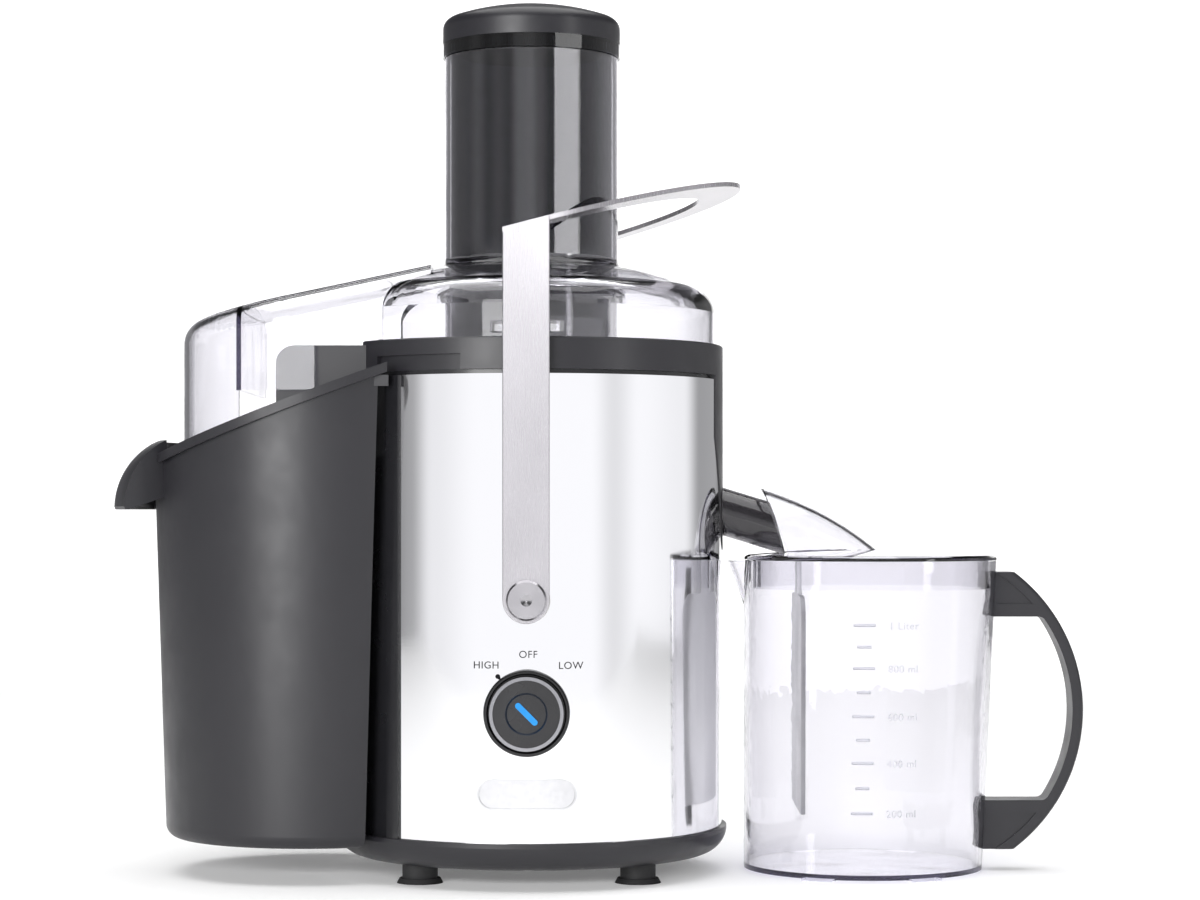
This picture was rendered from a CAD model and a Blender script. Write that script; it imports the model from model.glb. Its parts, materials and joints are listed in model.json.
"""Looks of the centrifugal juicer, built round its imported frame. Lengths are metres."""
import json
import math

import bpy
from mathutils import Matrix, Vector


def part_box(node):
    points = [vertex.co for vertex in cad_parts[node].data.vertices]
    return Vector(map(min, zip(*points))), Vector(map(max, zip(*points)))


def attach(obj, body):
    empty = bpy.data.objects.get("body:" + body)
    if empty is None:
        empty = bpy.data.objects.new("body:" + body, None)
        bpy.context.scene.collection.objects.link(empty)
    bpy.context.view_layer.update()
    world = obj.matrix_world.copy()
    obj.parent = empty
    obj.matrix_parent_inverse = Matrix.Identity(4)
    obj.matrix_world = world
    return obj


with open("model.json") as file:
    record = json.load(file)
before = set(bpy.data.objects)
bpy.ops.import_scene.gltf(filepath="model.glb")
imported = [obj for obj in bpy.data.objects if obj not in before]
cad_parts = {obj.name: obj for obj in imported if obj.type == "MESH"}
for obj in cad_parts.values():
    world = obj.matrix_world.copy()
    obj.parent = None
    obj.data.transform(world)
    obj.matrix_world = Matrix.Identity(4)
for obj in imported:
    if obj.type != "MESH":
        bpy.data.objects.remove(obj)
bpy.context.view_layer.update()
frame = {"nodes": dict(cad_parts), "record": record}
nodes = frame["nodes"]
scene = bpy.context.scene

MM = 0.001
shaft_low, shaft_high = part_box("motor_shaft")
AXIS_X = (shaft_low.x + shaft_high.x) / 2          # the motor axis stands at (AXIS_X, 0)
WRAP_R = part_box("steel_wrap")[1].y
knob_low, knob_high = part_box("speed_knob")
KNOB_Z = (knob_low.z + knob_high.z) / 2
jug_low, jug_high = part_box("jug_body")
JUG_R = (jug_high.y - jug_low.y) / 2               # outside of the jug at its top
JUG_TAPER = 3.5 * MM                               # the foot's radius and centre are this much smaller
JUG_CENTRE = jug_high.x - JUG_R - AXIS_X


# the camera, from the motor axis and the worktop
CAMERA_X, CAMERA_DISTANCE, CAMERA_HEIGHT = 32.6 * MM, 1.4, 0.170
LENS, SENSOR, SHIFT_Y = 88.2, 36.0, 0.0517

# print on the wrap, mm from the knob's centre
PRINT_HEIGHT = 3.3 * MM
SPEEDS = [("word_high", "HIGH", -18.2, 21.1), ("word_off", "OFF", 0.6, 25.9), ("word_low", "LOW", 19.6, 20.9)]
PRINT_LIFT = 0.08 * MM                             # ink stands this far off the steel, so that it shows

# index mark beside the knob: a point at the knob, widening to a round end
MARK_ANGLE = 128.8                                 # degrees, anticlockwise from the right
MARK_NEAR, MARK_FAR = 18.6 * MM, 21.8 * MM
MARK_END_R = 1.05 * MM
MARK_END_SWEEP, MARK_END_STEPS = 100, 12           # degrees each side of the mark's own direction
MARK_BACK, MARK_FRONT = 0.02 * MM, 0.35 * MM       # its two faces, off the steel

# scale on the jug. Heights, SCALE_X and NUMBER_DROP are mm, above the worktop and right of the motor axis.
SCALE = [(32.1, "200 ml"), (55.1, "400 ml"), (76.5, "600 ml"), (98.5, "800 ml"), (118.2, "1 Liter")]
SCALE_X, SCALE_Z, SCALE_LEAN = 152.2, 30, 0.013    # the bars lean outwards with the jug's wall, above SCALE_Z
LONG_BAR, SHORT_BAR = 10.0 * MM, 6.4 * MM
BAR_HALF_H, BAR_RISE, BAR_SLOPE = 0.62 * MM, 0.45 * MM, 0.28 * MM
BAR_STEPS = 8
NUMBER_HEIGHT, NUMBER_DEPTH = 3.4 * MM, 0.4 * MM
NUMBER_AT = 18.0 * MM                              # from the middle of a bar to the middle of its number
NUMBER_DROP = 0.4
SUNK = 0.05 * MM                                   # bars and numbers reach this far into the wall

CAP_HEIGHT = 0.72                                  # of a capital letter, as a share of the font's size
LETTER_SPACING = 1.08

# studio: a floor, and a backdrop that curves up from its far edge
FLOOR_FRONT, BEND_FROM, BACKDROP_Y, BACKDROP_TOP = -1.1, 1.4, 2.2, 1.0
BEND_STEP = 5                                      # degrees
FLOOR_HALF_W, BACKDROP_HALF_W = 2.5, 0.8
FLOOR_TONE, FLOOR_GLOW = (0.84, 0.84, 0.84), 0.2
BACKDROP_TONE, BACKDROP_GLOW = (0.93, 0.93, 0.93), 0.42

# surroundings, as (place, tone) stops. A turn of 0.5 is ahead of the object, towards the camera, and 0.75 is
# at its right side. A height of 0.5 is the horizon and 1 is overhead.
TENT_LOW = [
    (0.0, 0.9), (0.045, 0.9), (0.06, 0.24), (0.16, 0.24), (0.25, 0.14), (0.29, 0.42), (0.335, 0.95),
    (0.42, 1.12), (0.6, 1.12), (0.642, 0.88), (0.69, 1.1), (0.79, 1.0), (0.84, 0.38), (0.9, 0.4), (0.94, 0.25),
    (0.96, 0.9)]
TENT_HIGH = [
    (0.0, 0.9), (0.045, 0.9), (0.06, 0.24), (0.16, 0.24), (0.24, 0.35), (0.29, 0.6), (0.336, 0.35),
    (0.378, 0.5), (0.419, 0.38), (0.458, 0.95), (0.5, 1.05), (0.534, 0.65), (0.574, 0.3), (0.7, 0.45),
    (0.81, 0.6), (0.9, 0.4), (0.94, 0.25), (0.96, 0.9)]
LOW_TO_HIGH = [(0.537, 0.0), (0.545, 1.0)]         # where the upper ring of tones takes over
CEILING = [(0.0, 1.0), (0.6, 1.0), (0.66, 0.3), (0.8, 0.12), (1.0, 0.2)]
COOL = 1.01                                        # blue over red and green in the surroundings


# ---- node helpers ----
class Shader:
    """One material's node tree, with short calls for the nodes that it needs."""

    def __init__(self, name):
        self.material = bpy.data.materials.new(name)
        self.material.use_nodes = True
        self.tree = self.material.node_tree
        self.tree.nodes.clear()
        self.out = self.tree.nodes.new("ShaderNodeOutputMaterial")
        self.coords = self.tree.nodes.new("ShaderNodeTexCoord")

    def link(self, source, target):
        self.tree.links.new(source, target)

    def stretched(self, scale):
        """Object coordinates, scaled by a different amount along each axis."""
        mapping = self.tree.nodes.new("ShaderNodeMapping")
        mapping.inputs["Scale"].default_value = scale
        self.link(self.coords.outputs["Object"], mapping.inputs["Vector"])
        return mapping.outputs["Vector"]

    def noise(self, scale, detail=3.0, roughness=0.55, stretch=(1, 1, 1)):
        node = self.tree.nodes.new("ShaderNodeTexNoise")
        node.inputs["Scale"].default_value = scale
        node.inputs["Detail"].default_value = detail
        node.inputs["Roughness"].default_value = roughness
        self.link(self.stretched(stretch), node.inputs["Vector"])
        return node.outputs["Fac"]

    def ramp(self, value, low, high, from_low=0.0, from_high=1.0):
        node = self.tree.nodes.new("ShaderNodeMapRange")
        node.inputs["From Min"].default_value = from_low
        node.inputs["From Max"].default_value = from_high
        node.inputs["To Min"].default_value = low
        node.inputs["To Max"].default_value = high
        self.link(value, node.inputs["Value"])
        return node.outputs["Result"]

    def blend(self, factor, first, second):
        node = self.tree.nodes.new("ShaderNodeMix")
        node.data_type = "RGBA"
        self.link(factor, node.inputs["Factor"])
        node.inputs["A"].default_value = (*first, 1)
        node.inputs["B"].default_value = (*second, 1)
        return node.outputs["Result"]

    def bump(self, height, strength, distance, after=None):
        node = self.tree.nodes.new("ShaderNodeBump")
        node.inputs["Strength"].default_value = strength
        node.inputs["Distance"].default_value = distance
        self.link(height, node.inputs["Height"])
        if after is not None:
            self.link(after, node.inputs["Normal"])
        return node.outputs["Normal"]

    def principled(self, **settings):
        """A Principled shader; a setting is a plain value or the output that drives it."""
        node = self.tree.nodes.new("ShaderNodeBsdfPrincipled")
        for key, value in settings.items():
            socket = node.inputs[key.replace("_", " ")]
            if isinstance(value, bpy.types.NodeSocket):
                self.link(value, socket)
            elif isinstance(value, tuple) and len(value) == 3:
                socket.default_value = (*value, 1) if socket.type == "RGBA" else value
            else:
                socket.default_value = value
        return node.outputs["BSDF"]

    def finish(self, surface):
        self.link(surface, self.out.inputs["Surface"])
        return self.material

    def finish_clear(self, surface, shade):
        """Glass that lets lamp light through, so that it casts the pale shadow of clear plastic."""
        path = self.tree.nodes.new("ShaderNodeLightPath")
        open_way = self.tree.nodes.new("ShaderNodeBsdfTransparent")
        open_way.inputs["Color"].default_value = (*shade, 1)
        mix = self.tree.nodes.new("ShaderNodeMixShader")
        self.link(path.outputs["Is Shadow Ray"], mix.inputs["Fac"])
        self.link(surface, mix.inputs[1])
        self.link(open_way.outputs["BSDF"], mix.inputs[2])
        self.link(mix.outputs["Shader"], self.out.inputs["Surface"])
        return self.material


# ---- materials ----
def moulded(name, dark, light, roughness=(0.34, 0.44), grain=0.25):
    """Opaque moulded plastic: a fine spark-eroded grain under broad, faint changes of tone."""
    s = Shader(name)
    colour = s.blend(s.noise(14.0, 4.0), dark, light)
    rough = s.ramp(s.noise(60.0, 2.0), *roughness, 0.3, 0.7)
    fine = s.bump(s.noise(2600.0, 2.0), grain, 0.00006)
    return s.finish(s.principled(Base_Color=colour, Roughness=rough, Normal=fine, IOR=1.5))


def clear_plastic(name, colour, shade, roughness=(0.0, 0.03), specular=0.5, absorb=0.0):
    """Clear moulded plastic with the slight waviness of a moulding and a trace of haze. shade is its shadow's
    colour. With absorb, it takes on a grey-violet tint where light runs far inside it, as along an edge."""
    s = Shader(name)
    if absorb:
        inside = s.tree.nodes.new("ShaderNodeVolumeAbsorption")
        inside.inputs["Color"].default_value = (0.52, 0.5, 0.6, 1)
        inside.inputs["Density"].default_value = absorb
        s.link(inside.outputs["Volume"], s.out.inputs["Volume"])
    rough = s.ramp(s.noise(25.0, 2.0), *roughness, 0.35, 0.75)
    wavy = s.bump(s.noise(30.0, 1.0), 0.05, 0.002)
    glass = s.principled(Base_Color=colour, Roughness=rough, Normal=wavy, IOR=1.49, Transmission_Weight=1.0,
                         Specular_IOR_Level=specular)
    return s.finish_clear(glass, shade)


def polished_steel():
    s = Shader("polished_steel")
    rough = s.ramp(s.noise(18.0, 3.0), 0.045, 0.085, 0.3, 0.7)
    broad = s.bump(s.noise(9.0, 1.0, stretch=(1, 1, 0.25)), 0.05, 0.002)
    lines = s.bump(s.noise(900.0, 2.0, stretch=(0.05, 0.05, 1)), 0.02, 0.00004, broad)
    return s.finish(s.principled(Base_Color=(0.86, 0.86, 0.875), Metallic=1.0, Roughness=rough, Normal=lines))


def brushed_steel(name, stretch, colour=(0.54, 0.525, 0.55)):
    """Steel brushed along one direction; stretch is small along that direction."""
    s = Shader(name)
    streaks = s.noise(5200.0, 3.0, 0.6, stretch)
    broad = s.noise(45.0, 2.0, 0.5, (1, 1, 0.5))
    tone = s.blend(s.ramp(broad, 0, 1, 0.35, 0.65), tuple(0.93 * c for c in colour), colour)
    rough = s.ramp(streaks, 0.23, 0.29, 0.3, 0.7)
    scratches = s.bump(streaks, 0.05, 0.00002)
    return s.finish(s.principled(Base_Color=tone, Metallic=1.0, Roughness=rough, Normal=scratches))


def plain_metal(name, colour, roughness):
    s = Shader(name)
    rough = s.ramp(s.noise(400.0, 3.0), roughness * 0.8, roughness * 1.25, 0.3, 0.7)
    fine = s.bump(s.noise(1800.0, 2.0), 0.1, 0.00004)
    return s.finish(s.principled(Base_Color=colour, Metallic=1.0, Roughness=rough, Normal=fine))


def turned_steel():
    """The pivot bolts' faced heads: fine rings left by the lathe, round the pivot's own axis."""
    s = Shader("turned_steel")
    bolt_low, bolt_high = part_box("arm_pivot_bolts")
    middle = (bolt_low + bolt_high) / 2
    centred = s.tree.nodes.new("ShaderNodeMapping")
    centred.inputs["Location"].default_value = (-middle.x, -middle.y, -middle.z)
    s.link(s.coords.outputs["Object"], centred.inputs["Vector"])
    rings = s.tree.nodes.new("ShaderNodeTexWave")
    rings.wave_type = "RINGS"
    rings.rings_direction = "Y"
    rings.inputs["Scale"].default_value = 620.0
    rings.inputs["Distortion"].default_value = 0.6
    s.link(centred.outputs["Vector"], rings.inputs["Vector"])
    tone = s.blend(rings.outputs["Fac"], (0.36, 0.35, 0.37), (0.5, 0.49, 0.51))
    grooves = s.bump(rings.outputs["Fac"], 0.25, 0.00005)
    return s.finish(s.principled(Base_Color=tone, Metallic=1.0, Roughness=0.26, Normal=grooves))


def lit_lens():
    s = Shader("blue_light")
    glow = s.blend(s.noise(250.0, 1.0), (0.0, 0.22, 0.66), (0.02, 0.34, 0.82))
    return s.finish(s.principled(Base_Color=(0.0, 0.1, 0.3), Roughness=0.25, Emission_Color=glow,
                                 Emission_Strength=1.0))


def mesh_sheet():
    """Etched filter sheet: rows of fine holes seen as dark dots."""
    s = Shader("mesh_steel")
    cells = s.tree.nodes.new("ShaderNodeTexVoronoi")
    cells.inputs["Scale"].default_value = 900.0
    cells.inputs["Randomness"].default_value = 0.25
    s.link(s.coords.outputs["Object"], cells.inputs["Vector"])
    hole = s.ramp(cells.outputs["Distance"], 0.0, 1.0, 0.25, 0.35)
    colour = s.blend(hole, (0.03, 0.03, 0.03), (0.62, 0.62, 0.64))
    return s.finish(s.principled(Base_Color=colour, Metallic=0.9, Roughness=0.35))


def printed_ink(name, colour):
    s = Shader(name)
    worn = tuple(c * 1.2 for c in colour)
    tone = s.blend(s.noise(500.0, 2.0), colour, worn)
    return s.finish(s.principled(Base_Color=tone, Roughness=0.6, Specular_IOR_Level=0.2))


LOOKS = {
    "dark_plastic": moulded("dark_plastic", (0.0125, 0.012, 0.015), (0.017, 0.0165, 0.0205)),
    "black_plastic": moulded("black_plastic", (0.010, 0.010, 0.012), (0.016, 0.016, 0.018), (0.2, 0.3), 0.05),
    "clear_plastic": clear_plastic("clear_plastic", (0.975, 0.972, 0.985), (0.84, 0.84, 0.88), absorb=60.0),
    "smoky_plastic": clear_plastic("smoky_plastic", (0.06, 0.06, 0.075), (0.05, 0.05, 0.06), specular=0.3),
    "spout_plastic": clear_plastic("spout_plastic", (0.16, 0.155, 0.165), (0.2, 0.2, 0.21)),
    "polished_steel": polished_steel(),
    "brushed_steel": brushed_steel("brushed_steel", (1, 1, 0.02)),
    "plated_trim": plain_metal("plated_trim", (0.8, 0.8, 0.82), 0.09),
    "blue_light": lit_lens(),
    "rubber_black": moulded("rubber_black", (0.016, 0.016, 0.017), (0.024, 0.024, 0.025), (0.6, 0.8), 0.4),
    "zinc_steel": plain_metal("zinc_steel", (0.6, 0.6, 0.58), 0.3),
    "lamination_steel": plain_metal("lamination_steel", (0.3, 0.3, 0.32), 0.45),
    "copper_wire": plain_metal("copper_wire", (0.62, 0.28, 0.12), 0.35),
    "copper_bar": plain_metal("copper_bar", (0.78, 0.4, 0.22), 0.25),
    "cast_alloy": plain_metal("cast_alloy", (0.6, 0.61, 0.63), 0.42),
    "carbon": moulded("carbon", (0.02, 0.02, 0.02), (0.035, 0.035, 0.035), (0.7, 0.9)),
    "brass_part": plain_metal("brass_part", (0.72, 0.56, 0.26), 0.28),
    "white_nylon": moulded("white_nylon", (0.7, 0.7, 0.66), (0.78, 0.78, 0.75)),
    "board_green": moulded("board_green", (0.02, 0.14, 0.05), (0.03, 0.19, 0.08)),
    "mesh_steel": mesh_sheet(),
}
DARK_PLATING = plain_metal("dark_plating", (0.32, 0.32, 0.34), 0.16)
SATIN_PLATING = plain_metal("satin_plating", (0.68, 0.68, 0.7), 0.2)
TURNED = turned_steel()
FROSTED = clear_plastic("frosted_plastic", (0.98, 0.98, 0.99), (0.84, 0.84, 0.88), (0.3, 0.42))
SLOT_OF = {row["node"]: row["material_slot"] for row in frame["record"]["subparts"]}


def dress_nodes():
    for name, obj in nodes.items():
        obj.data.materials.clear()
        obj.data.materials.append(LOOKS[SLOT_OF[name]])
    nodes["knob_trim_ring"].data.materials[0] = DARK_PLATING
    nodes["nameplate"].data.materials[0] = SATIN_PLATING
    nodes["arm_pivot_bolts"].data.materials[0] = TURNED
    nodes["froth_separator"].data.materials[0] = FROSTED


# ---- pieces that the frame doesn't carry ----
def add_piece(name, mesh, material, body):
    mesh.materials.append(material)
    obj = bpy.data.objects.new(name, mesh)
    scene.collection.objects.link(obj)
    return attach(obj, body)


def add_mesh(name, verts, faces, material, body):
    mesh = bpy.data.meshes.new(name)
    mesh.from_pydata(verts, [], faces)
    return add_piece(name, mesh, material, body)


def on_wrap(x, z, lift=PRINT_LIFT):
    """A point of the front of the wrap, x right of the motor axis, just above its surface."""
    r = WRAP_R + lift
    return Vector((AXIS_X + x, -math.sqrt(r * r - x * x), z))


def on_jug(x, z, lift):
    """A point of the front of the jug's tapering wall, x right of the motor axis."""
    share = z / jug_high.z
    centre = JUG_CENTRE + JUG_TAPER * (share - 1)
    r = JUG_R + JUG_TAPER * (share - 1) + lift
    return Vector((AXIS_X + x, -math.sqrt(r * r - (x - centre) ** 2), z))


def word(name, text, height, place, body, material, depth=0.0):
    """Lettering, bent on to a surface. place turns a flat point, and its height off the page, into a point
    of that surface."""
    curve = bpy.data.curves.new(name, "FONT")
    curve.body = text
    curve.size = height / CAP_HEIGHT
    curve.extrude = depth / 2
    curve.align_x = "CENTER"
    curve.align_y = "CENTER"
    curve.space_character = LETTER_SPACING
    flat = bpy.data.objects.new(name + "_flat", curve)
    scene.collection.objects.link(flat)
    depsgraph = bpy.context.evaluated_depsgraph_get()
    mesh = bpy.data.meshes.new_from_object(flat.evaluated_get(depsgraph))
    bpy.data.objects.remove(flat)
    for vertex in mesh.vertices:
        vertex.co = place(vertex.co.x, vertex.co.y, vertex.co.z + depth / 2)
    mesh.materials.clear()
    mesh.name = name
    return add_piece(name, mesh, material, body)


def towards(angle):
    return Vector((math.cos(angle), math.sin(angle)))


def knob_print():
    """The three speeds, printed on the wrap, and the index mark at the knob's edge."""
    ink = printed_ink("print_ink", (0.02, 0.02, 0.022))
    for name, text, x, up in SPEEDS:
        word(name, text, PRINT_HEIGHT, lambda a, b, c: on_wrap(x * MM + a, KNOB_Z + up * MM + b), "base",
             ink)
    direction = towards(math.radians(MARK_ANGLE))
    end_centre = (MARK_FAR - MARK_END_R) * direction
    end_angles = [math.radians(MARK_ANGLE - MARK_END_SWEEP + 2 * MARK_END_SWEEP * i / MARK_END_STEPS)
                  for i in range(MARK_END_STEPS + 1)]
    outline = [MARK_NEAR * direction] + [end_centre + MARK_END_R * towards(a) for a in end_angles]
    front = [on_wrap(q.x, KNOB_Z + q.y, MARK_FRONT) for q in outline]
    back = [on_wrap(q.x, KNOB_Z + q.y, MARK_BACK) for q in outline]
    count = len(outline)
    sides = [(i, (i + 1) % count, count + (i + 1) % count, count + i) for i in range(count)]
    faces = [tuple(range(count))[::-1], tuple(range(count, 2 * count))] + sides
    add_mesh("index_mark", front + back, faces, ink, "base")


def raised_bar(name, x, z, width, material):
    """A moulded bar on the front of the jug, with sloping sides."""
    verts = []
    for lift, inset in ((-SUNK, 0.0), (BAR_RISE, BAR_SLOPE)):
        half_w, half_h = width / 2 - inset, BAR_HALF_H - inset
        for dz in (-half_h, half_h):
            verts += [on_jug(x - half_w + 2 * half_w * i / BAR_STEPS, z + dz, lift)
                      for i in range(BAR_STEPS + 1)]
    # four rows of points, foot and top, each from left to right
    row = BAR_STEPS + 1
    foot_below, foot_above, top_below, top_above = 0, row, 2 * row, 3 * row
    faces = []
    for a, b in ((foot_below, foot_above), (foot_above, top_above), (top_above, top_below),
                 (top_below, foot_below)):
        faces += [(a + i, b + i, b + i + 1, a + i + 1) for i in range(BAR_STEPS)]
    left_end = (foot_below, top_below, top_above, foot_above)
    right_end = tuple(corner + BAR_STEPS for corner in (foot_below, foot_above, top_above, top_below))
    add_mesh(name, verts, faces + [left_end, right_end], material, "jug")


def scale_centre(z):
    """Middle of a bar that stands z mm up the jug."""
    return (SCALE_X + SCALE_LEAN * (z - SCALE_Z)) * MM


def jug_scale():
    """Moulded scale on the jug: a long bar and a number at each 200 ml, a short bar midway."""
    frosted = clear_plastic("frosted_marks", (0.86, 0.86, 0.9), (0.7, 0.7, 0.74), (0.25, 0.4))
    for i, (z, text) in enumerate(SCALE):
        centre = scale_centre(z)
        raised_bar("scale_bar_%d" % (2 * i), centre, z * MM, LONG_BAR, frosted)
        word("scale_number_%d" % i, text, NUMBER_HEIGHT,
             lambda a, b, c: on_jug(centre + NUMBER_AT + a, (z - NUMBER_DROP) * MM + b, c - SUNK), "jug",
             frosted, NUMBER_DEPTH)
    for i, ((low, _), (high, _)) in enumerate(zip(SCALE, SCALE[1:])):
        z = (low + high) / 2
        raised_bar("scale_bar_%d" % (2 * i + 1), scale_centre(z), z * MM, SHORT_BAR, frosted)


# ---- floor, light, camera ----
def stage_sheet(name, profile, half_width, tone, glow):
    """A staged sheet that follows a (y, z) profile. A little glow makes it a sheet lit from below."""
    verts = [(side * half_width, y, z) for y, z in profile for side in (-1, 1)]
    faces = [(2 * i, 2 * i + 1, 2 * i + 3, 2 * i + 2) for i in range(len(profile) - 1)]
    mesh = bpy.data.meshes.new(name)
    mesh.from_pydata(verts, [], faces)
    for polygon in mesh.polygons:
        polygon.use_smooth = True
    s = Shader(name)
    paper = s.blend(s.noise(3.0, 2.0), tone, tuple(c * 1.02 for c in tone))
    mesh.materials.append(s.finish(s.principled(Base_Color=paper, Roughness=0.75, Emission_Color=paper,
                                                Emission_Strength=glow)))
    obj = bpy.data.objects.new(name, mesh)
    scene.collection.objects.link(obj)
    return obj


def studio():
    """The floor and the backdrop; returns the floor."""
    bend = BACKDROP_Y - BEND_FROM
    angles = [math.radians(a) for a in range(0, 91, BEND_STEP)]
    curve = [(BEND_FROM + bend * math.sin(a), bend - bend * math.cos(a)) for a in angles]
    floor = stage_sheet("studio_floor", [(FLOOR_FRONT, 0.0), (BEND_FROM, 0.0)], FLOOR_HALF_W, FLOOR_TONE,
                        FLOOR_GLOW)
    stage_sheet("studio_backdrop", curve + [(BACKDROP_Y, BACKDROP_TOP)], BACKDROP_HALF_W, BACKDROP_TONE,
                BACKDROP_GLOW)
    return floor


def lamp(name, place, aim, size, power):
    data = bpy.data.lights.new(name, "AREA")
    data.shape = "RECTANGLE"
    data.size, data.size_y = size
    data.energy = power
    obj = bpy.data.objects.new(name, data)
    obj.location = place
    obj.rotation_euler = (Vector(aim) - Vector(place)).to_track_quat("-Z", "Y").to_euler()
    scene.collection.objects.link(obj)
    return obj


def light_only(lamp_object, lit_objects):
    lit = bpy.data.collections.new("lit_by_" + lamp_object.name)
    for obj in lit_objects:
        lit.objects.link(obj)
    lamp_object.light_linking.receiver_collection = lit


def of_slots(*slots):
    """The nodes of these material slots."""
    return [obj for name, obj in nodes.items() if SLOT_OF[name] in slots]


def light(floor):
    """Lamps set for the camera's view. Most reach only the pieces that they are listed with."""
    plastics = [obj for obj in of_slots("dark_plastic", "black_plastic", "rubber_black")
                if obj != nodes["knob_bezel"]]
    lid, jug, jug_lid = nodes["lid_cover"], nodes["jug_body"], nodes["jug_lid"]
    # name, place, aim, size, power, the pieces lit
    linked = [
        ("key", (-1.05, -2.2, 0.55), (-0.1, 0, 0.2), (1.0, 1.5), 44, plastics),
        ("strip", (1.7, -1.3, 0.7), (0.05, 0, 0.2), (0.3, 1.5), 6,
         of_slots("dark_plastic", "spout_plastic") + [lid, jug, jug_lid]),
        ("panel", (1.6, -1.35, 0.7), (0, 0, 0.3), (1.4, 1.5), 24, [nodes["feed_chute"], nodes["pusher_body"]]),
        ("window", (-0.3, -1.5, 0.45), (0, 0, 0.25), (1.0, 0.5), 7, [lid]),
        ("arm_light", (0.0, -2.0, 0.7), (0, 0, 0.28), (1.2, 0.4), 4.5, of_slots("brushed_steel")),
        ("floor_fill", (-0.4, -4.0, 1.1), (-0.1, -0.04, 0), (4.0, 0.5), 200, [floor])]
    for name, place, aim, size, power, lit in linked:
        light_only(lamp(name, place, aim, size, power), lit)
    lamp("top", (0, -0.1, 2.0), (0, -0.1, 0), (2.4, 2.4), 52)
    lamp("backdrop", (0, 0.8, 1.7), (0, 2.2, 0.5), (1.6, 0.6), 6)
    surroundings()


def surroundings():
    """A white tent with a darker ceiling. Grey flags stand behind the object at both sides and, higher up, at
    each side of the camera."""
    world = bpy.data.worlds.new("studio_world")
    scene.world = world
    world.use_nodes = True
    tree = world.node_tree
    background = tree.nodes["Background"]
    coords = tree.nodes.new("ShaderNodeTexCoord")
    split = tree.nodes.new("ShaderNodeSeparateXYZ")
    tree.links.new(coords.outputs["Generated"], split.inputs["Vector"])

    def maths(operation, first, second=None):
        node = tree.nodes.new("ShaderNodeMath")
        node.operation = operation
        for socket, value in zip(node.inputs, (first, second)):
            if isinstance(value, bpy.types.NodeSocket):
                tree.links.new(value, socket)
            elif value is not None:
                socket.default_value = value
        return node.outputs["Value"]

    def tones(value, stops):
        node = tree.nodes.new("ShaderNodeValToRGB")
        node.color_ramp.interpolation = "EASE"
        elements = node.color_ramp.elements
        while len(elements) < len(stops):
            elements.new(0.5)
        for element, (place, tone) in zip(elements, stops):
            element.position = place
            element.color = (tone, tone, tone * COOL, 1)
        tree.links.new(value, node.inputs["Fac"])
        return node.outputs["Color"]

    def mixed(blend_type, factor, first, second):
        node = tree.nodes.new("ShaderNodeMix")
        node.data_type = "RGBA"
        node.blend_type = blend_type
        if isinstance(factor, bpy.types.NodeSocket):
            tree.links.new(factor, node.inputs["Factor"])
        else:
            node.inputs["Factor"].default_value = factor
        tree.links.new(first, node.inputs["A"])
        tree.links.new(second, node.inputs["B"])
        return node.outputs["Result"]

    x, y, z = (split.outputs[axis] for axis in "XYZ")
    turn = maths("ADD", maths("DIVIDE", maths("ARCTAN2", x, maths("MULTIPLY", y, -1.0)), 2 * math.pi), 0.5)
    up = maths("ADD", maths("MULTIPLY", z, 0.5), 0.5)
    around = mixed("MIX", tones(up, LOW_TO_HIGH), tones(turn, TENT_LOW), tones(turn, TENT_HIGH))
    tree.links.new(mixed("MULTIPLY", 1.0, around, tones(up, CEILING)), background.inputs["Color"])
    background.inputs["Strength"].default_value = 1.0


def camera():
    data = bpy.data.cameras.new("camera")
    data.sensor_width = SENSOR
    data.lens = LENS
    data.shift_y = SHIFT_Y
    obj = bpy.data.objects.new("camera", data)
    obj.location = (AXIS_X + CAMERA_X, -CAMERA_DISTANCE, CAMERA_HEIGHT)
    obj.rotation_euler = (math.radians(90), 0, 0)
    scene.collection.objects.link(obj)
    scene.camera = obj


camera()
light(studio())
dress_nodes()
knob_print()
jug_scale()
scene.view_settings.view_transform = "Standard"
